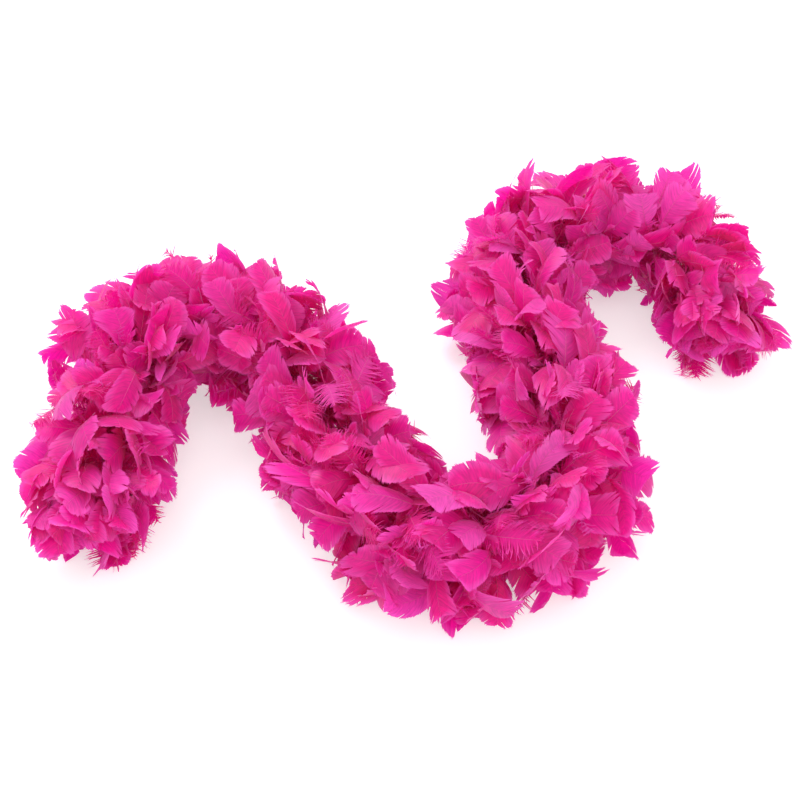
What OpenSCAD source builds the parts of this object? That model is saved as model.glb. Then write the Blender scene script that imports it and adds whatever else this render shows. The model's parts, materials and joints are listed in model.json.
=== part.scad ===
// Feather boa laid in a loose S on a flat surface.
// A limp twisted core cord runs the whole length. Two strings of feathers, one broad and one slim,
// wind round it as a double helix, and a thread wound between them locks them to the cord.
// The boa is divided into links of equal length, so that it can bend between them.
// Origin: centre of the bounding box, at the surface it lies on. +X is along the longest side, +Z is up.

/* [Core cord] */
// Diameter of the twisted core cord
core_d = 5; // [4:0.5:7]
// Diameter of the thread that locks the feather strings
thread_d = 1; // [0.6:0.1:1.4]

/* [Feather strings] */
// Length of cord that one turn of the double helix takes, in route steps of about 70 mm
turn = 0.7; // [0.6:0.05:0.9]
// Thickness of the band that binds the quills side by side
band_t = 1.6; // [1:0.1:2]
// Width of that band along the cord
band_w = 5; // [4:0.5:6]

/* [Broad feathers] */
// Reach of a broad feather from the middle of the cord
broad_reach = 100; // [80:1:105]
// Widest part of a broad feather's vane
broad_w = 46; // [30:1:50]
// Broad feathers on one link
broad_count = 30; // [24:1:36]

/* [Slim feathers] */
// Reach of a slim feather from the middle of the cord
slim_reach = 106; // [80:1:110]
// Widest part of a slim feather's vane
slim_w = 17; // [10:1:24]
// Slim feathers on one link
slim_count = 24; // [20:1:28]

/* [Vanes] */
// Thickness of a vane
vane_t = 1; // [0.8:0.1:1.4]
// How far a vane's tip curls along the cord
curl = 7; // [0:1:10]
// How far the feathers lean along the cord, towards the right end, in degrees
middle_lean = 28; // [0:1:35]
// How far the outermost feathers lean out past the cord's two ends, in degrees
end_lean = 45; // [35:1:45]

/* [Hanging loops] */
// Diameter of the cord that the hanging loop is made of
loop_cord_d = 3; // [2:0.5:3.5]
// Inside diameter of the hanging loop
loop_inside_d = 16; // [12:1:20]

/* [Hidden] */
LINKS = 8;
STEPS_PER_LINK = 3;
// The middle of the cord, from the left end to the right end, about 70 mm apart.
ROUTE = [
    [-385, -200, 62],
    [-380, -130, 66],
    [-375, -60, 70],
    [-355, 0, 71],
    [-315, 50, 70],
    [-255, 70, 70],
    [-195, 40, 69],
    [-145, -10, 70],
    [-115, -70, 71],
    [-85, -135, 70],
    [-45, -195, 70],
    [10, -235, 71],
    [75, -250, 71],
    [135, -220, 70],
    [175, -165, 70],
    [180, -95, 71],
    [165, -30, 71],
    [150, 40, 70],
    [145, 110, 70],
    [160, 175, 71],
    [205, 225, 71],
    [265, 250, 70],
    [330, 230, 69],
    [370, 175, 66],
    [395, 105, 62]
];
LAST = len(ROUTE) - 1;
STEP_LENGTH = 70;
UP = [0, 0, 1];
// Half the stretch, in route steps, that a direction or a bend is measured over.
ahead_step = 0.05;
bend_step = 0.4;

core_r = core_d / 2;
core_sides = 8;
core_rings = 10;
// Each link's cord stops this far short of the pivot, in route steps, with a small tapered tip.
tip_gap = 0.015;
tip_taper = 0.03;
tip_r = core_r / 2;

// The bands start clear of the pivots, and clear of the whipping at the cord's two ends.
band_gap = 0.02;
end_clearance = 0.16;
band_in_r = core_r + 2;
band_out_r = band_in_r + band_t;

// The lean changes over this many route steps at each end.
lean_steps = 5;

// A vane is drawn at three places along the feather: [share of its reach, share of its width].
BROAD_VANE = [[0.24, 0.22], [0.68, 1], [1, 0.62]];
SLIM_VANE = [[0.24, 0.3], [0.6, 1], [1, 0.2]];
// On the inside of a bend a feather may fill this share of the way to the centre of the bend.
inner_fill = 0.55;
// A feather that is held short loses its width later than its reach, by this share.
held_width = 0.15;
// How sharply the lean grows towards the right end and the left end.
right_lean_power = 2;
left_lean_power = 1.5;

thread_r = thread_d / 2;
thread_sides = 4;
thread_rings_per_turn = 8;

// A trefoil knot, stretched along its height until its strands clear each other.
knot_scale = 2.4;
knot_height = 1.7;
knot_r = 1.6;
knot_sides = 6;
knot_rings = 36;
knot_from_end = 10;
whipping_length = 8;
whipping_gap = 1.2;
whipping_t = 1;
whipping_clearance = 0.3;
hole_overrun = 1;
round_sides = 48;
loop_cord_sides = 32;

// ---- Route ----

function route_point(i) =
    i < 0 ? 2 * ROUTE[0] - ROUTE[1] :
    i > LAST ? 2 * ROUTE[LAST] - ROUTE[LAST - 1] :
    ROUTE[i];

// A smooth curve through the route's points. u counts the points, from 0 to LAST.
function route(u) =
    let (
        i = max(0, min(floor(u), LAST - 1)),
        t = u - i,
        a = route_point(i - 1),
        b = route_point(i),
        c = route_point(i + 1),
        d = route_point(i + 2)
    )
    0.5 * (2 * b + (c - a) * t + (2 * a - 5 * b + 4 * c - d) * t * t
        + (3 * b - a - 3 * c + d) * t * t * t);

function unit(v) = v / norm(v);
function ahead(u) = unit(route(u + ahead_step) - route(u - ahead_step));
function side(u) = unit(cross(UP, ahead(u)));
function above(u) = cross(ahead(u), side(u));
function outward(u, a) = cos(a) * side(u) + sin(a) * above(u);
function around(u, a) = -sin(a) * side(u) + cos(a) * above(u);

// Curvature of the route, pointing to the inside of the bend, per mm.
function bend(u) = (ahead(u + bend_step) - ahead(u - bend_step)) / (2 * bend_step * STEP_LENGTH);

function link_start(link) = (link - 1) * STEPS_PER_LINK;
function link_end(link) = link * STEPS_PER_LINK;

// ---- Faces ----

function quad(a, b, c, d) = [[a, b, c], [a, c, d]];

// Walls between two rings of n points, whose first points are number a and number b.
function walls(a, b, n) = [
    for (i = [0 : n - 1])
        let (j = (i + 1) % n)
        each quad(a + i, a + j, b + j, b + i)
];

function cap(first, n) = [for (i = [1 : n - 2]) [first, first + i, first + i + 1]];
function far_cap(first, n) = [for (i = [1 : n - 2]) [first, first + i + 1, first + i]];

// ---- Tubes ----

// A ring of a tube round point p, square to direction d.
function ring(p, d, r, n) =
    let (s = unit(cross(abs(d[2]) > 0.9 ? [1, 0, 0] : UP, d)), t = cross(d, s))
    [for (i = [0 : n - 1]) p + r * (cos(-360 * i / n) * s + sin(-360 * i / n) * t)];

module tube(rings) {
    n = len(rings[0]);
    last = len(rings) - 1;
    polyhedron(
        points = [for (r = rings) each r],
        faces = concat(
            far_cap(0, n),
            [for (i = [0 : last - 1]) each walls(n * i, n * (i + 1), n)],
            cap(n * last, n)
        )
    );
}

module closed_tube(rings) {
    n = len(rings[0]);
    count = len(rings);
    polyhedron(
        points = [for (r = rings) each r],
        faces = [for (i = [0 : count - 1]) each walls(n * i, n * ((i + 1) % count), n)]
    );
}

// ---- Core cord ----

module core_cord(link) {
    from = link_start(link) + (link == 1 ? 0 : tip_gap);
    to = link_end(link) - (link == LINKS ? 0 : tip_gap);
    inner_from = from + tip_taper;
    inner_to = to - tip_taper;
    full = [
        for (i = [0 : core_rings - 3])
            inner_from + (inner_to - inner_from) * i / (core_rings - 3)
    ];
    color("mediumvioletred")
    tube(concat(
        [ring(route(from), ahead(from), tip_r, core_sides)],
        [for (u = full) ring(route(u), ahead(u), core_r, core_sides)],
        [ring(route(to), ahead(to), tip_r, core_sides)]
    ));
}

// ---- Feathers ----

function turned(u) = 360 * u / turn;

// How strongly the route bends towards direction a at u, from 0 to 1.
function inside(u, a) = min(1, max(0, bend(u) * outward(u, a) * broad_reach));

// Near the two ends of the boa the feathers lean out past the cord. Inside a bend they stand up.
function lean(u, a) =
    middle_lean * (1 - inside(u, a))
    + (end_lean - middle_lean) * pow(max(0, (u - LAST) / lean_steps + 1), right_lean_power)
    - (end_lean + middle_lean) * pow(max(0, 1 - u / lean_steps), left_lean_power);

// The reach of a feather along direction d: short of the surface below and of the middle of a bend.
function held_reach(u, d, reach) =
    min(
        reach,
        d[2] < 0 ? -route(u)[2] / d[2] : reach,
        bend(u) * d > 0 ? inner_fill / (bend(u) * d) : reach
    );

// Four corners of a vane's section, squeezed flat where they would pass through the surface below.
function section(p, across, through, w) = [
    for (c = [[-1, -1], [-1, 1], [1, 1], [1, -1]])
        let (q = p + c[0] * w / 2 * across + c[1] * vane_t / 2 * through)
        [q[0], q[1], max(q[2], 0)]
];

function feather_points(u, a, reach, w, vane) =
    let (
        tilt = lean(u, a),
        d = cos(tilt) * outward(u, a) + sin(tilt) * ahead(u),
        across = around(u, a),
        through = cross(d, across),
        held = held_reach(u, d, reach)
    )
    [
        for (v = vane)
            each section(
                route(u) + v[0] * held * d + curl * v[0] * v[0] * through,
                across, through, w * v[1] * min(1, held / reach + held_width)
            )
    ];

// Where band ring i of a string is, with count feathers between from and to.
function band_u(i, from, to, count) = from + (to - from) * i / count;

function band_ring(u, a) = [
    for (c = [[band_in_r, -1], [band_out_r, -1], [band_out_r, 1], [band_in_r, 1]])
        route(u) + c[0] * outward(u, a) + c[1] * band_w / 2 * ahead(u)
];

// A string of feathers: a band wound round the cord, with a feather growing from each of its steps.
module feather_string(link, count, phase, reach, w, vane) {
    from = link_start(link) + (link == 1 ? end_clearance : band_gap);
    to = link_end(link) - (link == LINKS ? end_clearance : band_gap);
    first_vane = 4 * (count + 1);
    per_feather = 4 * len(vane);
    band = [
        for (i = [0 : count])
            let (u = band_u(i, from, to, count))
            each band_ring(u, turned(u) + phase)
    ];
    vanes = [
        for (i = [0 : count - 1])
            let (u = band_u(i + 0.5, from, to, count))
            each feather_points(u, turned(u) + phase, reach, w, vane)
    ];
    band_faces = [
        for (i = [0 : count - 1])
            let (a = 4 * i, b = 4 * i + 4)
            each concat(
                quad(a, a + 1, b + 1, b),
                quad(a + 2, a + 3, b + 3, b + 2),
                quad(a + 3, a, b, b + 3)
            )
    ];
    // The wide walls of a root twist: they're split so that the two stay clear of each other.
    root_faces = [
        for (i = [0 : count - 1])
            let (a = 4 * i, b = 4 * i + 4, v = first_vane + per_feather * i)
            each concat(
                quad(a + 1, a + 2, v + 1, v),
                quad(b + 2, v + 2, v + 1, a + 2),
                quad(b + 2, b + 1, v + 3, v + 2),
                quad(a + 1, v, v + 3, b + 1)
            )
    ];
    // A vane's front and back are split along the same diagonal, so that they stay parallel.
    vane_faces = [
        for (i = [0 : count - 1], k = [0 : len(vane) - 2])
            let (v = first_vane + per_feather * i + 4 * k, w = v + 4)
            each concat(
                quad(v, v + 1, w + 1, w),
                quad(v + 1, v + 2, w + 2, w + 1),
                quad(v + 2, v + 3, w + 3, w + 2),
                quad(v, w, w + 3, v + 3)
            )
    ];
    tip_faces = [
        for (i = [0 : count - 1])
            each cap(first_vane + per_feather * (i + 1) - 4, 4)
    ];
    polyhedron(
        points = concat(band, vanes),
        faces = concat(
            far_cap(0, 4), band_faces, cap(4 * count, 4), root_faces, vane_faces, tip_faces
        )
    );
}

module broad_feathers(link) {
    color("deeppink")
    feather_string(link, broad_count, 0, broad_reach, broad_w, BROAD_VANE);
}

module slim_feathers(link) {
    color("hotpink")
    feather_string(link, slim_count, 180, slim_reach, slim_w, SLIM_VANE);
}

// ---- Thread ----

module binding_thread(link) {
    from = link_start(link) + (link == 1 ? end_clearance : 3 * band_gap);
    to = link_end(link) - (link == LINKS ? end_clearance : 3 * band_gap);
    count = ceil((to - from) / turn * thread_rings_per_turn);
    path = [
        for (i = [0 : count])
            let (u = from + (to - from) * i / count)
            route(u) + (core_r + thread_r) * outward(u, turned(u) + 90)
    ];
    color("crimson")
    tube([
        for (i = [0 : count])
            let (d = unit(path[min(i + 1, count)] - path[max(i - 1, 0)]))
            ring(path[i], d, thread_r, thread_sides)
    ]);
}

// ---- Ends ----

// Puts a child at a cord's end, with the child's +X pointing out of the boa.
module at_end(left) {
    u = left ? 0 : LAST;
    x = left ? -ahead(u) : ahead(u);
    y = unit(cross(UP, x));
    z = cross(x, y);
    p = route(u);
    multmatrix([
        [x[0], y[0], z[0], p[0]],
        [x[1], y[1], z[1], p[1]],
        [x[2], y[2], z[2], p[2]],
        [0, 0, 0, 1]
    ])
    children();
}

function trefoil(a) = knot_scale * [
    sin(a) + 2 * sin(2 * a),
    cos(a) - 2 * cos(2 * a),
    -knot_height * sin(3 * a)
];

module end_knot(left) {
    color("mediumvioletred")
    at_end(left)
    translate([knot_from_end, 0, 0])
    closed_tube([
        for (i = [0 : knot_rings - 1])
            let (a = 360 * i / knot_rings)
            ring(trefoil(a), unit(trefoil(a + 1) - trefoil(a - 1)), knot_r, knot_sides)
    ]);
}

module hanging_loop(left) {
    loop_r = (loop_inside_d + loop_cord_d) / 2;
    color("mediumvioletred")
    at_end(left)
    translate([knot_from_end + 2 * knot_scale + loop_r, 0, 0])
    rotate_extrude($fn = round_sides)
    translate([loop_r, 0])
    circle(d = loop_cord_d, $fn = loop_cord_sides);
}

module whipping(left) {
    sleeve_in_r = core_r + whipping_clearance;
    color("crimson")
    at_end(left)
    translate([-whipping_gap, 0, 0])
    rotate([0, -90, 0])
    difference() {
        cylinder(r = sleeve_in_r + whipping_t, h = whipping_length, $fn = round_sides);
        translate([0, 0, -hole_overrun])
        cylinder(r = sleeve_in_r, h = whipping_length + 2 * hole_overrun, $fn = round_sides);
    }
}

// ---- Nodes ----

core_cord(1);  // core_cord_1
core_cord(2);  // core_cord_2
core_cord(3);  // core_cord_3
core_cord(4);  // core_cord_4
core_cord(5);  // core_cord_5
core_cord(6);  // core_cord_6
core_cord(7);  // core_cord_7
core_cord(8);  // core_cord_8
broad_feathers(1);  // broad_feathers_1
broad_feathers(2);  // broad_feathers_2
broad_feathers(3);  // broad_feathers_3
broad_feathers(4);  // broad_feathers_4
broad_feathers(5);  // broad_feathers_5
broad_feathers(6);  // broad_feathers_6
broad_feathers(7);  // broad_feathers_7
broad_feathers(8);  // broad_feathers_8
slim_feathers(1);  // slim_feathers_1
slim_feathers(2);  // slim_feathers_2
slim_feathers(3);  // slim_feathers_3
slim_feathers(4);  // slim_feathers_4
slim_feathers(5);  // slim_feathers_5
slim_feathers(6);  // slim_feathers_6
slim_feathers(7);  // slim_feathers_7
slim_feathers(8);  // slim_feathers_8
binding_thread(1);  // binding_thread_1
binding_thread(2);  // binding_thread_2
binding_thread(3);  // binding_thread_3
binding_thread(4);  // binding_thread_4
binding_thread(5);  // binding_thread_5
binding_thread(6);  // binding_thread_6
binding_thread(7);  // binding_thread_7
binding_thread(8);  // binding_thread_8
end_knot(true);  // left_end_knot
hanging_loop(true);  // left_hanging_loop
whipping(true);  // left_whipping
end_knot(false);  // right_end_knot
hanging_loop(false);  // right_hanging_loop
whipping(false);  // right_whipping
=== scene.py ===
import json
import math

import bpy
import numpy as np
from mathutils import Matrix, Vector


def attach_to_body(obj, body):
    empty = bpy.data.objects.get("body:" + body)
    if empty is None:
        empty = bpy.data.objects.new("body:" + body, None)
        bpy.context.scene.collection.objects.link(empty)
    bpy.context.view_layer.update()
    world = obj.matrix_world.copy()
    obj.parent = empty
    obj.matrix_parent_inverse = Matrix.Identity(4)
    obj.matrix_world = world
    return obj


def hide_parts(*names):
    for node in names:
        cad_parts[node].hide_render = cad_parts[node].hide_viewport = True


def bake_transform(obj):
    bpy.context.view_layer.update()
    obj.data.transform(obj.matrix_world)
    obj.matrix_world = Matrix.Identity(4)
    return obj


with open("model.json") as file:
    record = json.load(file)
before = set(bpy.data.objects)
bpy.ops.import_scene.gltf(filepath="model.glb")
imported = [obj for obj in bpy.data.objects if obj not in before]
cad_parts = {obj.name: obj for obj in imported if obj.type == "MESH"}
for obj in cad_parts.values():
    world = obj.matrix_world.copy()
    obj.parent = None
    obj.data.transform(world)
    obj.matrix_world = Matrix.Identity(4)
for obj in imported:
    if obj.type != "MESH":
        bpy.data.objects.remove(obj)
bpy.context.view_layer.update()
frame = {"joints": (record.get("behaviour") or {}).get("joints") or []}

# ---- The boa's route, as in part.scad, in metres ----

ROUTE = np.array([
    [-385, -200, 62],
    [-380, -130, 66],
    [-375, -60, 70],
    [-355, 0, 71],
    [-315, 50, 70],
    [-255, 70, 70],
    [-195, 40, 69],
    [-145, -10, 70],
    [-115, -70, 71],
    [-85, -135, 70],
    [-45, -195, 70],
    [10, -235, 71],
    [75, -250, 71],
    [135, -220, 70],
    [175, -165, 70],
    [180, -95, 71],
    [165, -30, 71],
    [150, 40, 70],
    [145, 110, 70],
    [160, 175, 71],
    [205, 225, 71],
    [265, 250, 70],
    [330, 230, 69],
    [370, 175, 66],
    [395, 105, 62],
]) / 1000
LAST = len(ROUTE) - 1
STEP = 0.07
STEPS_PER_LINK = 3
UP = np.array([0.0, 0.0, 1.0])

# The feather strings wind round the cord once in this many route steps.
TURN = 0.7
CORE_D = 0.005
THREAD_D = 0.001
# Quills start at this distance from the middle of the cord.
QUILL_START = 0.0045
# Each span of the boa reaches from the middle of one link to the middle of the next.
HALF_LINK = STEPS_PER_LINK / 2


def route(u):
    """Points on the smooth curve through ROUTE, for an array of u from 0 to LAST."""
    u = np.asarray(u, float)
    i = np.clip(np.floor(u).astype(int), 0, LAST - 1)
    t = (u - i)[..., None]
    before = 2 * ROUTE[0] - ROUTE[1]
    after = 2 * ROUTE[-1] - ROUTE[-2]
    points = np.vstack([before, ROUTE, after])
    a, b, c, d = points[i], points[i + 1], points[i + 2], points[i + 3]
    return 0.5 * (
        2 * b + (c - a) * t + (2 * a - 5 * b + 4 * c - d) * t**2 + (3 * b - a - 3 * c + d) * t**3
    )


def unit(v):
    return v / np.linalg.norm(v, axis=-1, keepdims=True)


def dot(a, b):
    return (a * b).sum(-1, keepdims=True)


def ahead(u):
    return unit(route(np.asarray(u) + 0.05) - route(np.asarray(u) - 0.05))


def side(u):
    return unit(np.cross(UP, ahead(u)))


def above(u):
    return np.cross(ahead(u), side(u))


def outward(u, a):
    return np.cos(a)[..., None] * side(u) + np.sin(a)[..., None] * above(u)


def bend(u):
    """The route's curvature, pointing to the inside of the bend, per metre."""
    return (ahead(u + 0.4) - ahead(u - 0.4)) / (0.8 * STEP)


def wound(u, phase):
    """The angle round the cord of a string that starts at that phase, in degrees."""
    return np.radians(360 * u / TURN + phase)


# ---- Camera, floor and light ----

TARGET = Vector((-0.019, -0.045, 0.07))
CAMERA_ELEVATION = math.radians(50)
CAMERA_DISTANCE = 1.946


def make_camera():
    data = bpy.data.cameras.new("camera")
    data.lens = 70
    data.sensor_width = 36
    camera = bpy.data.objects.new("camera", data)
    back = Vector((0, -math.cos(CAMERA_ELEVATION), math.sin(CAMERA_ELEVATION)))
    camera.location = TARGET + back * CAMERA_DISTANCE
    camera.rotation_mode = "QUATERNION"
    camera.rotation_quaternion = (-back).to_track_quat("-Z", "Y")
    bpy.context.scene.collection.objects.link(camera)
    bpy.context.scene.camera = camera


def soft_light(name, place, size, power, colour):
    data = bpy.data.lights.new(name, "AREA")
    data.shape = "DISK"
    data.size = size
    data.energy = power
    data.color = colour
    light = bpy.data.objects.new(name, data)
    light.location = place
    light.rotation_mode = "QUATERNION"
    light.rotation_quaternion = (TARGET - Vector(place)).to_track_quat("-Z", "Y")
    bpy.context.scene.collection.objects.link(light)


def make_studio():
    world = bpy.data.worlds.new("studio")
    world.use_nodes = True
    world.node_tree.nodes["Background"].inputs["Color"].default_value = (1, 1, 1, 1)
    world.node_tree.nodes["Background"].inputs["Strength"].default_value = 1.3
    bpy.context.scene.world = world
    bpy.context.scene.view_settings.view_transform = "Standard"
    soft_light("key", (-1.1, 1.5, 1.7), 1.2, 36, (0.9, 0.84, 1.0))
    soft_light("fill", (1.3, -1.8, 1.6), 1.6, 5, (1.0, 0.95, 0.9))

    bpy.ops.mesh.primitive_plane_add(size=40)
    floor = bpy.context.object
    floor.name = "floor"
    material, shader = plain_material("floor", (0.62, 0.62, 0.62), 0.9)
    shader.inputs["Specular IOR Level"].default_value = 0.1
    shader.inputs["Emission Color"].default_value = (1, 1, 1, 1)
    shader.inputs["Emission Strength"].default_value = 0.5
    floor.data.materials.append(material)


# ---- Materials ----


def plain_material(name, colour, roughness):
    material = bpy.data.materials.new(name)
    material.use_nodes = True
    shader = material.node_tree.nodes["Principled BSDF"]
    shader.inputs["Base Color"].default_value = (*colour, 1)
    shader.inputs["Roughness"].default_value = roughness
    return material, shader


class Nodes:
    """Short names for the node calls that the materials repeat."""

    def __init__(self, material):
        self.tree = material.node_tree

    def add(self, kind, inputs=(), **settings):
        node = self.tree.nodes.new(kind)
        for name, value in settings.items():
            setattr(node, name, value)
        for name, value in dict(inputs).items():
            self.set(node, name, value)
        return node

    def set(self, node, name, value):
        if isinstance(value, bpy.types.NodeSocket):
            self.tree.links.new(value, node.inputs[name])
        else:
            node.inputs[name].default_value = value

    def attribute(self, name):
        node = self.add("ShaderNodeAttribute", attribute_name=name)
        return self.add("ShaderNodeSeparateXYZ", {"Vector": node.outputs["Vector"]})

    def math(self, operation, a, b=0.0):
        node = self.add("ShaderNodeMath", {0: a, 1: b}, operation=operation)
        return node.outputs[0]

    def ranged(self, value, low, high, to_low, to_high):
        node = self.add("ShaderNodeMapRange", {
            "Value": value, "From Min": low, "From Max": high, "To Min": to_low, "To Max": to_high,
        })
        return node.outputs["Result"]

    def mixed(self, share, a, b, blend="MIX"):
        node = self.add("ShaderNodeMix", data_type="RGBA", blend_type=blend)
        self.set(node, 0, share)
        self.set(node, 6, a)
        self.set(node, 7, b)
        return node.outputs[2]


def vane_material(name, warm, cool, pale_and_highlight_tint, shine):
    """A dyed feather vane: streaks along its barbs, a tint of its own, paler barb tips as a painted
    highlight, some feathers faded, and light through it.

    The mesh's "barb" attribute holds the barb's number along the vane, the distance along the barb
    from 0 at the rachis to 1 at its tip, and a random number for each feather.
    """
    material, shader = plain_material(name, warm, 0.42)
    nodes = Nodes(material)
    barb = nodes.attribute("barb")
    number, across, chance = barb.outputs["X"], barb.outputs["Y"], barb.outputs["Z"]

    where = nodes.add("ShaderNodeCombineXYZ", {
        "X": nodes.math("MULTIPLY", number, 1.3),
        "Y": nodes.math("MULTIPLY", across, 1.6),
        "Z": nodes.math("MULTIPLY", chance, 90.0),
    })
    streak = nodes.add("ShaderNodeTexNoise", {
        "Vector": where.outputs[0], "Scale": 1.0, "Detail": 4.0, "Roughness": 0.65,
    }).outputs["Fac"]
    tint = nodes.mixed(chance, (*warm, 1), (*cool, 1))
    faded = nodes.ranged(chance, 0.76, 1.0, 0.0, 0.75)
    tint = nodes.mixed(faded, tint, (*pale_and_highlight_tint, 1))
    # Towards their tips the barbs turn to the pale tint: a painted highlight on the feathers' thin
    # edges.
    paler = nodes.ranged(across, 0.6, 1.0, 0.0, 0.7)
    tint = nodes.mixed(paler, tint, (*pale_and_highlight_tint, 1))
    shade = nodes.ranged(streak, 0.3, 0.7, 0.72, 1.12)
    grey = nodes.add("ShaderNodeCombineColor", {0: shade, 1: shade, 2: shade}).outputs[0]
    colour = nodes.mixed(1.0, tint, grey, "MULTIPLY")

    nodes.set(shader, "Base Color", colour)
    shader.inputs["Specular IOR Level"].default_value = shine
    shader.inputs["Sheen Weight"].default_value = 0.4
    shader.inputs["Sheen Roughness"].default_value = 0.45
    shader.inputs["Sheen Tint"].default_value = (0.95, 0.62, 1.0, 1)
    bump = nodes.add("ShaderNodeBump", {"Height": streak, "Strength": 0.35, "Distance": 0.0006})
    nodes.set(shader, "Normal", bump.outputs[0])

    through = nodes.add("ShaderNodeBsdfTranslucent", {"Color": colour})
    both = nodes.add("ShaderNodeMixShader", {0: 0.5, 1: shader.outputs[0], 2: through.outputs[0]})
    output = material.node_tree.nodes["Material Output"]
    nodes.set(output, "Surface", both.outputs[0])
    return material


def quill_material(name, colour):
    material, shader = plain_material(name, colour, 0.42)
    nodes = Nodes(material)
    place = nodes.add("ShaderNodeTexCoord").outputs["Object"]
    noise = nodes.add("ShaderNodeTexNoise", {"Vector": place, "Scale": 260.0, "Detail": 3.0})
    darker = tuple(0.6 * c for c in colour)
    mixed = nodes.mixed(noise.outputs["Fac"], (*darker, 1), (*colour, 1))
    nodes.set(shader, "Base Color", mixed)
    return material


def down_material(name, colour):
    """Down at a feather's base: thin matt strands that let light through."""
    material, shader = plain_material(name, colour, 0.8)
    shader.inputs["Specular IOR Level"].default_value = 0.1
    nodes = Nodes(material)
    place = nodes.add("ShaderNodeTexCoord").outputs["Object"]
    noise = nodes.add("ShaderNodeTexNoise", {"Vector": place, "Scale": 120.0, "Detail": 3.0})
    paler = (colour[0], 3 * colour[1], 1.3 * colour[2], 1)
    mixed = nodes.mixed(noise.outputs["Fac"], (*colour, 1), paler)
    nodes.set(shader, "Base Color", mixed)
    through = nodes.add("ShaderNodeBsdfTranslucent", {"Color": mixed})
    both = nodes.add("ShaderNodeMixShader", {0: 0.4, 1: shader.outputs[0], 2: through.outputs[0]})
    nodes.set(material.node_tree.nodes["Material Output"], "Surface", both.outputs[0])
    return material


def cord_material(name, colour, fibre_scale):
    """Twisted dyed fibres: fine streaks, a little fuzz and a rough surface."""
    material, shader = plain_material(name, colour, 0.85)
    nodes = Nodes(material)
    place = nodes.add("ShaderNodeTexCoord").outputs["Object"]
    fibre = nodes.add("ShaderNodeTexNoise", {"Vector": place, "Scale": fibre_scale, "Detail": 5.0})
    darker = tuple(0.6 * c for c in colour)
    mixed = nodes.mixed(fibre.outputs["Fac"], (*darker, 1), (*colour, 1))
    nodes.set(shader, "Base Color", mixed)
    bump = nodes.add("ShaderNodeBump", {
        "Height": fibre.outputs["Fac"], "Strength": 0.5, "Distance": 0.0003,
    })
    nodes.set(shader, "Normal", bump.outputs[0])
    shader.inputs["Sheen Weight"].default_value = 0.3
    return material


# ---- One feather, flat ----
# A template is drawn flat: along the rachis from 0 to 1, across it from -1 to 1, and height in
# metres. Its faces are four-sided, with a triangle written as one that repeats its last corner.

# Length of a feather that the templates' loose strands are sized for.
FLAT_LENGTH = 0.115
BROAD_HALF_WIDTH = 0.026
SLIM_HALF_WIDTH = 0.0085
# Points along each barb, less one.
ROWS = 3
# Where the vane starts and the rachis ends, as shares of the length.
VANE_START = 0.26
VANE_END = 0.975
RACHIS_END = 0.985
# Where the barbs end, from the vane's base to its tip: share of the length, and of the half width.
OUTLINE_AT = [0, 0.16, 0.4, 0.62, 0.8, 0.92, 1]
OUTLINES = {
    "square": ([0.36, 0.53, 0.74, 0.93, 1.01, 1.01, 1.0], [0.25, 0.64, 0.9, 1.0, 0.98, 0.5, 0.0]),
    "blunt": ([0.36, 0.53, 0.74, 0.9, 0.98, 1.01, 1.0], [0.25, 0.64, 0.9, 1.0, 0.9, 0.5, 0.0]),
    "round": ([0.34, 0.48, 0.67, 0.85, 0.96, 1.0, 1.0], [0.26, 0.62, 0.92, 1.0, 0.86, 0.48, 0.0]),
    "slim": ([0.36, 0.5, 0.66, 0.8, 0.9, 0.96, 1.0], [0.35, 0.8, 1.0, 0.9, 0.62, 0.3, 0.0]),
}
# How barbs cling: strips in a clump, where along a barb its clump parts from the next, how far it
# draws together there, how far its end wanders and lifts, and how its length varies.
WHOLE = {"size": (3, 8), "parts": (0.72, 0.97), "pinch": (0.0, 0.16), "wander": 0.006,
         "lift": 0.0010, "length": (0.97, 1.01)}
SPLIT = {"size": (2, 5), "parts": (0.3, 0.65), "pinch": (0.12, 0.4), "wander": 0.012,
         "lift": 0.0018, "length": (0.9, 1.02)}
LOOSE = {"size": (1, 1), "parts": (0.02, 0.25), "pinch": (0.72, 0.92), "wander": 0.03,
         "lift": 0.006, "length": (0.6, 1.08)}
# The share of clumps that are split.
SPLIT_SHARE = 0.26

# Which of a feather piece's materials a face has.
VANE, QUILL, DOWN, THREAD = range(4)


class Template:
    """Collects a feather's flat points and faces."""

    def __init__(self):
        self.points = []
        self.barbs = []
        self.faces = []
        self.looks = []
        self.count = 0

    def add(self, points, barbs, faces, look):
        self.points.append(points)
        self.barbs.append(barbs)
        self.faces.append(np.asarray(faces, int) + self.count)
        self.looks.append(np.full(len(faces), look))
        self.count += len(points)

    def done(self):
        self.points = np.concatenate(self.points)
        self.barbs = np.concatenate(self.barbs)
        self.faces = np.concatenate(self.faces)
        self.looks = np.concatenate(self.looks)
        return self


def grid_faces(lines):
    """Quads between neighbouring lines of ROWS + 1 points each."""
    i, j = np.meshgrid(np.arange(lines - 1), np.arange(ROWS), indexing="ij")
    a = (i * (ROWS + 1) + j).ravel()
    return np.stack([a, a + 1, a + ROWS + 2, a + ROWS + 1], axis=1)


def clumps(rng, strips, low, high):
    """Splits that many strips into neighbouring clumps of low to high strips."""
    cuts = [0]
    while cuts[-1] < strips:
        cuts.append(min(strips, cuts[-1] + int(rng.integers(low, high + 1))))
    return list(zip(cuts[:-1], cuts[1:]))


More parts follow.
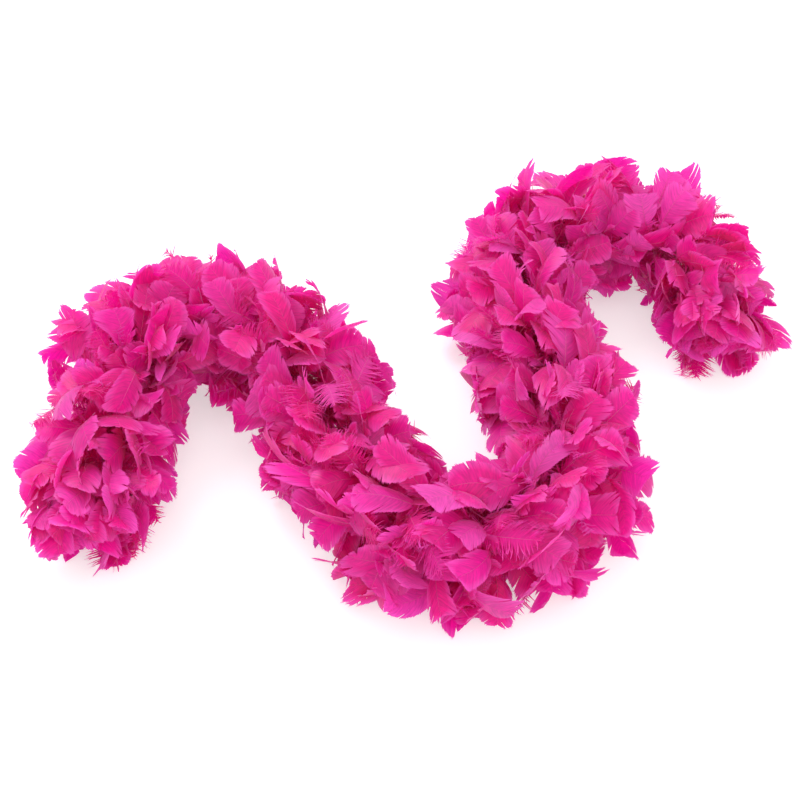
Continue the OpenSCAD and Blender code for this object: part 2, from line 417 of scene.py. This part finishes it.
def add_half_vane(rng, made, outline, way, strips, slant, loose):
    """One side of a vane. Its barbs cling together in clumps, which part towards their tips."""
    along_at, across_at = OUTLINES[outline]
    breadth = rng.uniform(0.86, 1.05)
    uneven = np.interp(np.arange(strips + 1) / strips, np.linspace(0, 1, 7), rng.normal(0, 0.03, 7))
    downy = strips * rng.uniform(0.08, 0.3)
    groups = clumps(rng, strips, *LOOSE["size"])
    if not loose:
        base = [g for g in groups if g[0] < downy]
        first = base[-1][1]
        rest = clumps(rng, strips - first, *WHOLE["size"])
        groups = base + [(first + a, first + b) for a, b in rest]
    for first, last in groups:
        is_loose = loose or first < downy
        kind = LOOSE if is_loose else SPLIT if rng.random() < SPLIT_SHARE else WHOLE
        number = np.arange(first, last + 1)
        start, b = np.meshgrid(number / strips, np.linspace(0, 1, ROWS + 1), indexing="ij")
        parts_at = rng.uniform(*kind["parts"])
        pinch = rng.uniform(*kind["pinch"])
        ramp = np.clip((b - parts_at) / (1 - parts_at), 0, 1)
        middle = start.mean()
        ends = middle + (start - middle) * (1 - pinch * ramp) + rng.normal(0, kind["wander"]) * ramp
        ends = np.clip(ends, 0, 1)
        length = rng.uniform(*kind["length"]) * rng.uniform(0.985, 1.01, (len(number), 1))
        b_long = b * length * (1 + uneven[number][:, None])
        root = VANE_START + (VANE_END - VANE_START) * start**0.9
        end_across = breadth * np.interp(ends, OUTLINE_AT, across_at)
        end_along = np.interp(ends, OUTLINE_AT, along_at) + slant * end_across
        along = root + (end_along - root) * b_long**1.25
        across = way * end_across * b_long
        height = rng.normal(0, kind["lift"]) * ramp**2
        points = np.stack([along, across, height], axis=-1)
        numbers = np.broadcast_to(number[:, None], b.shape) + (50 if way > 0 else 0)
        barbs = np.stack([numbers, b], axis=-1)
        faces = grid_faces(len(number))
        if way < 0:
            faces = faces[:, ::-1]
        made.add(points.reshape(-1, 3), barbs.reshape(-1, 2), faces, VANE)
        add_barb_tips(rng, made, points, barbs)


def add_barb_tips(rng, made, points, barbs):
    """Two fine points past the end of each strip of the vane."""
    left, right = points[:-1, -1], points[1:, -1]
    before = (points[:-1, -2] + points[1:, -2]) / 2
    n = np.arange(len(left))[:, None] * 3
    for from_share, to_share in ((0.0, 0.5), (0.5, 1.0)):
        start = left + (right - left) * from_share
        end = left + (right - left) * to_share
        middle = start + (end - start) * rng.uniform(0.2, 0.8, (len(left), 1))
        tip = middle + (middle - before) * rng.uniform(0.05, 0.45, (len(left), 1))
        corners = np.stack([start, end, tip], axis=1).reshape(-1, 3)
        own = np.repeat(barbs[:-1, -1], 3, axis=0)
        own[:, 1] = 1
        made.add(corners, own, np.hstack([n, n + 1, n + 2, n + 2]), VANE)


def add_down(rng, made, strands, half_width):
    """Loose strands at the vane's base, each a thin ribbon that narrows to a point."""
    t = np.array([0, 0.35, 0.7, 1.0])
    width = np.array([0.00035, 0.00028, 0.0002, 0.00008])
    for way in (-1, 1):
        root = rng.uniform(0.1, 0.42, strands)
        reach = rng.uniform(0.008, 0.021, strands)
        forward = rng.uniform(0.1, 0.9, strands)
        rise = rng.normal(0, 0.35, strands)
        sag = rng.normal(0, 0.4, strands)
        for k in range(strands):
            out = reach[k] * t
            along = root[k] + out * forward[k] / FLAT_LENGTH + sag[k] * (out**2) * 12
            across = way * out / half_width
            height = rise[k] * out + sag[k] * out**2 * 30
            left = np.stack([along - width / FLAT_LENGTH, across, height], axis=1)
            right = np.stack([along + width / FLAT_LENGTH, across, height], axis=1)
            points = np.stack([left, right], axis=1).reshape(-1, 3)
            a = np.arange(len(t) - 1)[:, None] * 2
            barbs = np.tile([90.0 + k, 0.3], (len(points), 1))
            made.add(points, barbs, np.hstack([a, a + 1, a + 3, a + 2]), DOWN)


def add_rachis(made, thick, half_width):
    """The quill and rachis: a three-sided tube that narrows to the feather's tip."""
    rings = 13
    at = np.linspace(0, RACHIS_END, rings)
    r = thick * (1 - 0.88 * (at / RACHIS_END) ** 0.8)
    points = []
    for s, radius in zip(at, r):
        for a in (90, 210, 330):
            y = radius * math.cos(math.radians(a)) / half_width
            z = radius * math.sin(math.radians(a)) + 0.0002
            points.append([s, y, z])
    faces = [
        [3 * i + k, 3 * i + (k + 1) % 3, 3 * i + 3 + (k + 1) % 3, 3 * i + 3 + k]
        for i in range(rings - 1)
        for k in range(3)
    ]
    made.add(np.array(points), np.tile([0.0, 0.0], (len(points), 1)), faces, QUILL)


def feather_template(seed, outline, strips, loose, half_width, strands):
    rng = np.random.default_rng(seed)
    made = Template()
    slant = rng.uniform(-0.1, 0.1)
    corners = rng.uniform(-0.02, 0.02)
    for way in (-1, 1):
        add_half_vane(rng, made, outline, way, strips, corners + way * slant, loose)
    add_down(rng, made, strands, half_width)
    add_rachis(made, 0.0007 if outline == "slim" else 0.0009, half_width)
    return made.done()


# ---- Feathers on the cord ----

# A feather's curve is worked out at this many points, and to a little past its tip, because barbs
# reach past it.
SPINE_POINTS = 40
SPINE_END = 1.12
# Lengths and shares near the boa's ends change over this many route steps.
END_STEPS = 3.0
# How strongly feathers lean down, away from the inside of a bend, and out past the boa's ends.
DROOP = 0.35
BEND_PUSH = 0.1
END_PUSH = 2.2
# At the boa's very ends feathers are shorter by the first share, lean over by this many degrees
# more, and their tips are closer to the cord by the second share.
END_TRIM = 0.32
END_LEAN = 16
END_HOLD = 0.18
# Past the ends nothing holds the tips up: feathers on top curl over further by up to this many
# degrees, and those below curl up less.
END_SAG = 32
# Feathers are shorter on the inside of a bend by up to this share, and longer on the outside.
INNER_HOLD = 0.34
OUTER_EXTRA = 0.1
# Feathers that would pass below the first height are pressed flat on the floor. Those that would
# pass above TOP bend over, and end at most TOP_GIVE higher. Both spread sideways by this share.
FLOOR_GIVE = 0.014
TOP = 0.15
TOP_GIVE = 0.024
PRESSED_SPREAD = 0.35
# How many of each string's kinds are loose.
LOOSE_KINDS = 2


def templates():
    """The kinds of feather in each string. The broad and slim kinds end with their loose ones."""
    broad, slim, short = [], [], []
    for seed, outline in enumerate(["square"] * 4 + ["blunt"] * 4 + ["round"] * 5):
        broad.append(feather_template(seed, outline, 24, False, BROAD_HALF_WIDTH, 10))
    for seed in (20, 21):
        broad.append(feather_template(seed, "round", 50, True, BROAD_HALF_WIDTH, 12))
    for seed in (30, 31, 32, 33):
        slim.append(feather_template(seed, "slim", 16, False, SLIM_HALF_WIDTH, 14))
    for seed in (40, 41):
        slim.append(feather_template(seed, "slim", 34, True, SLIM_HALF_WIDTH, 14))
    for seed in (50, 51, 52):
        short.append(feather_template(seed, "blunt", 14, False, BROAD_HALF_WIDTH, 4))
    return {"broad": broad, "slim": slim, "short": short}


def inside(u, direction):
    """How far a direction points to the inside of a bend, from 0 to 1."""
    return np.clip(dot(bend(u), direction) * 0.1, 0, 1)


def end_pull(u):
    """-1 at the boa's left end, 1 at its right end, and 0 further than a few steps from both."""
    right = np.clip(1 - (LAST - u) / END_STEPS, 0, 1)
    left = np.clip(1 - u / END_STEPS, 0, 1)
    return right**1.5 - left**1.5


def spines(start, curl):
    """Each feather's curve as steps of its length: its angle from outward, reach and drift."""
    s = np.linspace(0, SPINE_END, SPINE_POINTS)
    phi = start + curl * s**1.4
    middle = (phi[:, 1:] + phi[:, :-1]) / 2
    zero = np.zeros((len(phi), 1))
    reach = np.hstack([zero, np.cumsum(np.cos(middle), axis=1)]) * s[1]
    drift = np.hstack([zero, np.cumsum(np.sin(middle), axis=1)]) * s[1]
    return s, phi, reach, drift


def drawn(rng, u, e_r, spread):
    """Random settings for feathers at u that grow towards e_r, each as a column."""
    n = (len(u), 1)
    held = 1 - INNER_HOLD * inside(u, e_r) + OUTER_EXTRA * inside(u, -e_r)
    near_end = np.abs(end_pull(u))[:, None]
    sag = END_SAG * near_end * dot(e_r, UP)
    return {
        "turn": rng.uniform(0, 2 * np.pi, n),
        "start": np.radians(rng.uniform(*spread["start"], n) + END_LEAN * near_end),
        "finish": np.radians(rng.uniform(*spread["finish"], n) + sag),
        "reach": rng.uniform(*spread["reach"], n) * held * (1 - END_HOLD * near_end),
        "longest": spread["longest"] * (1 - END_TRIM * near_end),
        "width": rng.uniform(*spread["width"], n) * held**0.5,
        "roll": np.radians(rng.normal(0, spread["roll"], n)),
        "twist": np.radians(rng.normal(0, spread["twist"], n)),
        "camber": rng.uniform(-0.16, 0.42, (2, *n)),
    }


def lay_feathers(template, u, angle, half_width, chosen):
    """World points of one template's feathers, one for each u and angle.

    Each feather leaves the cord, leans in a direction of its own, curls further over towards its
    tip, twists, and droops a little. Its face turns outward as it curls. Its tip's distance from
    the cord is chosen, and its length follows from that, so a feather that curls more is longer.
    """
    n = len(u)
    e_r = outward(u, angle)
    e_t = ahead(u)
    e_a = np.cross(e_t, e_r)
    droop = dot(UP * np.ones((n, 1)), e_r) * e_r - UP
    settle = DROOP * droop - BEND_PUSH * bend(u) + END_PUSH * end_pull(u)[:, None] * e_t
    lean = np.cos(chosen["turn"]) * e_t + np.sin(chosen["turn"]) * e_a + settle
    lean = unit(lean - dot(lean, e_r) * e_r)
    across_axis = np.cross(e_r, lean)

    s, phi, reach, drift = spines(chosen["start"], chosen["finish"] - chosen["start"])
    tip = round((SPINE_POINTS - 1) / SPINE_END)
    round_cord = drift[:, tip:tip + 1] * dot(lean, e_a)
    span = np.hypot(reach[:, tip:tip + 1], round_cord)
    length = np.minimum(chosen["reach"] / np.maximum(span, 0.5), chosen["longest"])
    width = half_width * chosen["width"]

    along, across, height = template.points.T
    at = np.clip(along, 0, SPINE_END) / s[1]
    i = np.minimum(at.astype(int), SPINE_POINTS - 2)
    f = at - i
    phi_here = phi[:, i] * (1 - f) + phi[:, i + 1] * f
    r_here = (reach[:, i] * (1 - f) + reach[:, i + 1] * f) * length
    q_here = (drift[:, i] * (1 - f) + drift[:, i + 1] * f) * length

    twist = chosen["roll"] + chosen["twist"] * along[None, :]
    camber = np.where(across[None, :] > 0, *chosen["camber"])
    y = across[None, :] * width
    z = height[None, :] - camber * y * y / width * np.clip(along[None, :], 0, 1)
    flat = np.cos(twist) * y - np.sin(twist) * z
    up = np.sin(twist) * y + np.cos(twist) * z

    r_part = r_here + up * np.sin(phi_here)
    q_part = q_here - up * np.cos(phi_here)
    base = route(u) + QUILL_START * e_r
    return (
        base[:, None, :]
        + r_part[..., None] * e_r[:, None, :]
        + q_part[..., None] * lean[:, None, :]
        + flat[..., None] * across_axis[:, None, :]
    )


def pressed(points, centre):
    """Points near the floor are laid on it and spread sideways, and high points are held down."""
    z = points[..., 2]
    deep = np.maximum(FLOOR_GIVE - z, 0)
    high = np.maximum(z - TOP, 0)
    sideways = points[..., :2] - centre[:, None, :2]
    sideways = sideways / np.maximum(np.linalg.norm(sideways, axis=-1, keepdims=True), 1e-4)
    points[..., :2] += sideways * (PRESSED_SPREAD * (deep + high))[..., None]
    z = np.where(deep > 0, FLOOR_GIVE * np.exp(-deep / FLOOR_GIVE), z)
    points[..., 2] = np.where(high > 0, TOP + TOP_GIVE * (1 - np.exp(-high / TOP_GIVE)), z)
    return points


# Feathers start this many route steps from the cord's ends, and threads this many.
END_CLEARANCE = 0.1
THREAD_CLEARANCE = 0.16
# How widely feathers scatter about their place, in degrees round the cord: those that stay in the
# string, those that may be anywhere, and those of a tuft, whose place is on top of the cord.
IN_STRING = 18
ANYWHERE = 100
ON_TOP = 65
# The feathers that fold out past each end of the cord and hide its knot and loop.
TUFT_COUNT = 40
TUFT_REACH = 0.8
TUFT_SPREAD = {
    "start": (14, 56), "finish": (68, 112), "reach": (0.045, 0.082), "longest": 0.112,
    "width": (0.8, 1.1), "roll": 14, "twist": 22,
}
# Short feathers of the broad string, which fill the plumage near the cord.
SHORT_PER_STEP = 36
SHORT_SPREAD = {
    "start": (5, 50), "finish": (60, 120), "reach": (0.028, 0.062), "longest": 0.085,
    "width": (0.6, 0.92), "roll": 30, "twist": 30,
}
STRINGS = {
    "broad": {
        "phase": 0, "per_step": 51, "half_width": BROAD_HALF_WIDTH,
        "spread": {
            "start": (5, 42), "finish": (55, 115), "reach": (0.068, 0.098), "longest": 0.14,
            "width": (0.75, 1.1), "roll": 16, "twist": 24,
        },
    },
    "slim": {
        "phase": 180, "per_step": 12, "half_width": SLIM_HALF_WIDTH,
        "spread": {
            "start": (0, 30), "finish": (15, 80), "reach": (0.075, 0.102), "longest": 0.13,
            "width": (0.8, 1.25), "roll": 40, "twist": 35,
        },
    },
}
# Single feathers that stand out of the top and sides of the plumage: how many there are for each
# step of the cord, how they grow, and how widely they scatter about the cord's top, in degrees.
STRAYS = {
    "broad": {
        "per_step": 2.1,
        "spread": {
            "start": (8, 30), "finish": (35, 80), "reach": (0.092, 0.110), "longest": 0.135,
            "width": (0.65, 1.0), "roll": 8, "twist": 12,
        },
    },
    "slim": {
        "per_step": 0.4,
        "spread": {
            "start": (12, 28), "finish": (36, 56), "reach": (0.094, 0.112), "longest": 0.135,
            "width": (0.9, 1.2), "roll": 8, "twist": 12,
        },
    },
}
STRAY_SCATTER = 62


def chosen_rows(settings, chosen):
    """The settings of some of the feathers."""
    return {name: value[..., chosen, :] for name, value in settings.items()}


def together(parts):
    """Several sets of points, barb values, faces and surfaces as one."""
    total, moved = 0, []
    for points, barbs, faces, surfaces in parts:
        moved.append((points, barbs, faces + total, surfaces))
        total += len(points)
    return [np.concatenate(x) for x in zip(*moved)]


def copies(rng, kinds, u, angle, half_width, settings):
    """The points, barb values, faces and surfaces of feathers, each from a template at random."""
    which = rng.integers(0, len(kinds), len(u))
    parts = []
    for k in np.unique(which):
        template, chosen = kinds[k], which == k
        own = chosen_rows(settings, chosen)
        laid = lay_feathers(template, u[chosen], angle[chosen], half_width, own)
        laid = pressed(laid, route(u[chosen]))
        n, m = laid.shape[:2]
        chance = np.broadcast_to(rng.random((n, 1, 1)), (n, m, 1))
        barbs = np.concatenate([np.broadcast_to(template.barbs, (n, m, 2)), chance], axis=2)
        faces = template.faces[None] + np.arange(n)[:, None, None] * m
        parts.append((
            laid.reshape(-1, 3), barbs.reshape(-1, 3), faces.reshape(-1, 4),
            np.tile(template.looks, n),
        ))
    return together(parts)


def grown(kind, seed, u, kinds, spread, scatter, around=None):
    """Feathers of one kind that grow from the cord at u, all round it or around one angle."""
    string = STRINGS[kind]
    rng = np.random.default_rng(seed)
    u = np.clip(u + rng.normal(0, 0.02, len(u)), END_CLEARANCE, LAST - END_CLEARANCE)
    middle = wound(u, string["phase"]) if around is None else around
    angle = middle + np.radians(rng.normal(0, scatter, len(u)))
    settings = drawn(rng, u, outward(u, angle), spread)
    return copies(rng, kinds, u, angle, string["half_width"], settings)


def stray_feathers(kind, seed, from_u, to_u, kinds):
    """The single feathers of one kind, made from the templates whose vanes are whole."""
    stray = STRAYS[kind]
    count = round(stray["per_step"] * (to_u - from_u))
    u = from_u + (to_u - from_u) * (np.arange(count) + 0.5) / count
    whole = kinds[:-LOOSE_KINDS]
    return grown(kind, seed, u, whole, stray["spread"], STRAY_SCATTER, np.pi / 2)


# ---- Meshes ----


def mesh_object(name, points, faces, materials, surfaces=None, barbs=None):
    """A smooth mesh. A face that repeats its last corner is a triangle."""
    faces = np.asarray(faces, np.int32)
    is_triangle = faces[:, 2] == faces[:, 3]
    sides = np.where(is_triangle, 3, 4)
    keep = np.ones(faces.shape, bool)
    keep[is_triangle, 3] = False
    corners = faces[keep]
    starts = np.concatenate([[0], np.cumsum(sides)[:-1]])
    mesh = bpy.data.meshes.new(name)
    mesh.vertices.add(len(points))
    mesh.vertices.foreach_set("co", np.asarray(points, np.float32).ravel())
    mesh.loops.add(len(corners))
    mesh.loops.foreach_set("vertex_index", corners.astype(np.int32))
    mesh.polygons.add(len(faces))
    mesh.polygons.foreach_set("loop_start", starts.astype(np.int32))
    mesh.polygons.foreach_set("use_smooth", np.ones(len(faces), bool))
    if surfaces is not None:
        mesh.polygons.foreach_set("material_index", np.asarray(surfaces, np.int32))
    mesh.update(calc_edges=True)
    if barbs is not None:
        attribute = mesh.attributes.new("barb", "FLOAT_VECTOR", "POINT")
        attribute.data.foreach_set("vector", np.asarray(barbs, np.float32).ravel())
    for material in materials:
        mesh.materials.append(material)
    made = bpy.data.objects.new(name, mesh)
    bpy.context.scene.collection.objects.link(made)
    return made


def tube(line, radius, sides, closed=False):
    """Points and faces of a tube along a line, with its ends closed unless it meets itself."""
    line = np.asarray(line, float)
    n = len(line)
    if closed:
        direction = unit(np.roll(line, -1, axis=0) - np.roll(line, 1, axis=0))
    else:
        direction = unit(np.gradient(line, axis=0))
    normal = np.zeros_like(line)
    first = np.cross(direction[0], UP if abs(direction[0][2]) < 0.9 else [1.0, 0.0, 0.0])
    normal[0] = first / np.linalg.norm(first)
    for i in range(1, n):
        moved = normal[i - 1] - direction[i] * (normal[i - 1] @ direction[i])
        normal[i] = moved / np.linalg.norm(moved)
    other = np.cross(direction, normal)
    a = np.linspace(0, 2 * np.pi, sides, endpoint=False)
    ring = np.cos(a)[None, :, None] * normal[:, None] + np.sin(a)[None, :, None] * other[:, None]
    points = (line[:, None] + radius * ring).reshape(-1, 3)
    faces = []
    for i in range(n if closed else n - 1):
        j = (i + 1) % n
        for k in range(sides):
            m = (k + 1) % sides
            faces.append([i * sides + k, i * sides + m, j * sides + m, j * sides + k])
    if not closed:
        for base, step in ((0, -1), ((n - 1) * sides, 1)):
            for k in range(1, sides - 1):
                pair = (k, k + 1) if step > 0 else (k + 1, k)
                faces.append([base, base + pair[0], base + pair[1], base + pair[1]])
    return points, np.array(faces)


def joined(parts):
    """Several (points, faces) as one."""
    points, faces, total = [], [], 0
    for p, f in parts:
        points.append(p)
        faces.append(f + total)
        total += len(p)
    return np.concatenate(points), np.concatenate(faces)


def strands(line, diameter, count, lay, closed=False):
    """A rope of twisted strands along a line. lay is the length of one twist."""
    line = np.asarray(line, float)
    steps = np.linalg.norm(np.diff(line, axis=0), axis=1)
    at = np.concatenate([[0], np.cumsum(steps)])
    total = at[-1] + (np.linalg.norm(line[0] - line[-1]) if closed else 0)
    if closed:
        lay = total / max(1, round(total / lay))
        direction = unit(np.roll(line, -1, axis=0) - np.roll(line, 1, axis=0))
    else:
        direction = unit(np.gradient(line, axis=0))
    across = unit(np.cross(direction, np.where(np.abs(direction[:, 2:3]) < 0.9, UP, [1.0, 0, 0])))
    other = np.cross(direction, across)
    strand_r = diameter / 2 * (0.5 if count > 2 else 0.52)
    centre_r = diameter / 2 - strand_r
    parts = []
    for k in range(count):
        a = 2 * np.pi * (at / lay + k / count)[:, None]
        offset = centre_r * (np.cos(a) * across + np.sin(a) * other)
        parts.append(tube(line + offset, strand_r, 8, closed))
    return joined(parts)


# ---- Cord, threads and ends ----

# Points on each route step of the cord and its thread.
CORD_POINTS = 60


def span_line(from_u, to_u):
    return route(np.linspace(from_u, to_u, round((to_u - from_u) * CORD_POINTS) + 1))


def at_end(left):
    """The cord's end and three axes there, the first pointing out of the boa."""
    u = 0.0 if left else float(LAST)
    x = -ahead(u) if left else ahead(u)
    y = unit(np.cross(UP, x))
    return route(u), x, y, np.cross(x, y)


def placed(points, left):
    origin, x, y, z = at_end(left)
    points = np.asarray(points)
    return origin + points[:, :1] * x + points[:, 1:2] * y + points[:, 2:3] * z


# The knot is a trefoil, which starts past the cord's end. The loop touches its far side.
KNOT_SCALE = 0.0024
KNOT_HEIGHT = 1.7
KNOT_CORD_D = 0.0032
KNOT_FROM_END = 0.010
LOOP_CORD_D = 0.003
LOOP_R = 0.0095
WHIPPING_TURNS = 8
WHIPPING_LENGTH = 0.008
WHIPPING_START = 0.0012
WHIPPING_R = CORE_D / 2 + 0.0008


def knot_line(left):
    a = np.linspace(0, 2 * np.pi, 97)[:-1]
    x = np.sin(a) + 2 * np.sin(2 * a)
    y = np.cos(a) - 2 * np.cos(2 * a)
    points = KNOT_SCALE * np.stack([x, y, -KNOT_HEIGHT * np.sin(3 * a)], axis=1)
    return placed(points + [KNOT_FROM_END, 0, 0], left)


def loop_line(left):
    a = np.linspace(0, 2 * np.pi, 73)[:-1]
    centre = KNOT_FROM_END + 2 * KNOT_SCALE + LOOP_R
    points = np.stack([centre + LOOP_R * np.cos(a), LOOP_R * np.sin(a), 0 * a], axis=1)
    return placed(points, left)


def whipping_line(left):
    t = np.linspace(0, 1, 24 * WHIPPING_TURNS + 1)
    a = 2 * np.pi * WHIPPING_TURNS * t
    x = -WHIPPING_START - THREAD_D / 2 - t * (WHIPPING_LENGTH - THREAD_D)
    points = np.stack([x, WHIPPING_R * np.cos(a), WHIPPING_R * np.sin(a)], axis=1)
    return placed(points, left)


def make_end(left, looks):
    """The knot, loop and whipping at one end of the cord."""
    knot = strands(knot_line(left), KNOT_CORD_D, 2, 0.009, True)
    loop = strands(loop_line(left), LOOP_CORD_D, 2, 0.007, True)
    whipping = tube(whipping_line(left), THREAD_D / 2, 8)
    made = []
    for name, shape, look, slot in (
        ("end_knot", knot, looks["cord"], "core_cord"),
        ("hanging_loop", loop, looks["cord"], "core_cord"),
        ("whipping", whipping, looks["thread"], "thread"),
    ):
        node = f"{'left' if left else 'right'}_{name}"
        piece = mesh_object(f"{node}_twisted", *shape, [look])
        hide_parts(node)
        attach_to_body(piece, "link_1" if left else "link_8")
        made.append(piece)
    return made


def make_tuft(left, kinds, looks):
    """The feathers that fold out past one end."""
    from_end = np.linspace(0, TUFT_REACH, TUFT_COUNT)
    u = from_end if left else LAST - from_end
    points, barbs, faces, surfaces = grown(
        "broad", 7000 + left, u, kinds["broad"], TUFT_SPREAD, ON_TOP, np.pi / 2
    )
    piece = mesh_object(
        "left_end_tuft" if left else "right_end_tuft", points, faces,
        [looks["broad"], looks["quill"], looks["down"]], surfaces, barbs,
    )
    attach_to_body(piece, "link_1" if left else "link_8")


# Stitches on a route step, and how wide they are, in radians round the cord.
STITCHES = 22
STITCH_WIDTH = 0.16
STITCH_THREAD_R = 0.00035


def stitching(from_u, to_u, phase):
    """Two threads that cross over and under the quills of one feather string."""
    u = np.linspace(from_u, to_u, round((to_u - from_u) * 10 * STITCHES))
    at = u * 2 * np.pi * STITCHES
    parts = []
    for way in (-1, 1):
        angle = wound(u, phase) + way * STITCH_WIDTH * np.sin(at)
        r = QUILL_START + 0.0008 + way * 0.0004 * np.cos(at)
        parts.append(tube(route(u) + r[:, None] * outward(u, angle), STITCH_THREAD_R, 5))
    return joined(parts)


def attach(piece, nodes):
    """Bakes a piece's transform into its mesh and hides the nodes it stands for."""
    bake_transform(piece)
    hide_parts(*nodes)
    return piece


def make_span(k, joints, kinds, looks):
    """The cord, thread and feathers between the middles of links k and k + 1.

    The first and last spans reach to the boa's ends. Returns the cord and its middle line.
    """
    from_u = 0 if k == 1 else STEPS_PER_LINK * k - HALF_LINK
    to_u = LAST if k == joints else STEPS_PER_LINK * k + HALF_LINK
    links = [k, k + 1] if k == joints else [k]

    line = span_line(from_u, to_u)
    core = mesh_object(f"core_cord_span_{k}", *strands(line, CORE_D, 3, 0.02), [looks["cord"]])
    attach(core, [f"core_cord_{n}" for n in links])

    first, last = max(from_u, THREAD_CLEARANCE), min(to_u, LAST - THREAD_CLEARANCE)
    u = np.linspace(first, last, round((last - first) * CORD_POINTS))
    round_cord = route(u) + (CORE_D + THREAD_D) / 2 * outward(u, wound(u, 90))
    winding = tube(round_cord, THREAD_D / 2, 6)
    thread = mesh_object(f"binding_thread_span_{k}", *winding, [looks["thread"]])
    attach(thread, [f"binding_thread_{n}" for n in links])

    for kind in ("broad", "slim"):
        count = round(STRINGS[kind]["per_step"] * (to_u - from_u))
        u = from_u + (to_u - from_u) * (np.arange(count) + 0.5) / count
        seed = 1000 * k + (1 if kind == "broad" else 2)
        plumage = [
            grown(kind, seed, u, kinds[kind], STRINGS[kind]["spread"], IN_STRING),
            stray_feathers(kind, seed + 2, from_u, to_u, kinds[kind]),
        ]
        points, barbs, faces, surfaces = together(plumage)
        sewn_points, sewn_faces = stitching(first, last, STRINGS[kind]["phase"])
        barbs = np.vstack([barbs, np.zeros((len(sewn_points), 3))])
        surfaces = np.concatenate([surfaces, np.full(len(sewn_faces), THREAD)])
        points, faces = joined([(points, faces), (sewn_points, sewn_faces)])
        piece = mesh_object(
            f"{kind}_feathers_span_{k}", points, faces,
            [looks[kind], looks["quill"], looks["down"], looks["thread"]], surfaces, barbs,
        )
        attach(piece, [f"{kind}_feathers_{n}" for n in links])

    u = np.linspace(from_u, to_u, round(SHORT_PER_STEP * (to_u - from_u)))
    points, barbs, faces, surfaces = grown(
        "broad", 1000 * k + 6, u, kinds["short"], SHORT_SPREAD, ANYWHERE
    )
    inner = mesh_object(
        f"inner_feathers_span_{k}", points, faces,
        [looks["broad"], looks["quill"], looks["down"]], surfaces, barbs,
    )
    attach(inner, [f"broad_feathers_{n}" for n in links])
    return core, line


def main():
    make_camera()
    make_studio()
    # Each vane's third colour is a pale tint for some whole feathers, and a painted highlight at
    # the barb tips.
    looks = {
        "broad": vane_material(
            "broad_vane", (0.88, 0.002, 0.29), (0.86, 0.006, 0.39), (0.92, 0.095, 0.57), 0.4
        ),
        "slim": vane_material(
            "slim_vane", (0.82, 0.002, 0.29), (0.79, 0.008, 0.41), (0.88, 0.11, 0.60), 0.4
        ),
        "quill": quill_material("quill", (0.86, 0.12, 0.38)),
        # The down is a deeper pink than the vanes, partly as painted shade for the depths of the
        # plumage where it lies.
        "down": down_material("down", (0.80, 0.012, 0.24)),
        "cord": cord_material("cord", (0.76, 0.008, 0.24), 900.0),
        "thread": cord_material("thread", (0.80, 0.012, 0.28), 1500.0),
    }
    joints = len(frame["joints"])
    ends = {1: make_end(True, looks), joints: make_end(False, looks)}
    kinds = templates()
    for k in range(1, joints + 1):
        core, line = make_span(k, joints, kinds, looks)
    for left in (True, False):
        make_tuft(left, kinds, looks)


main()
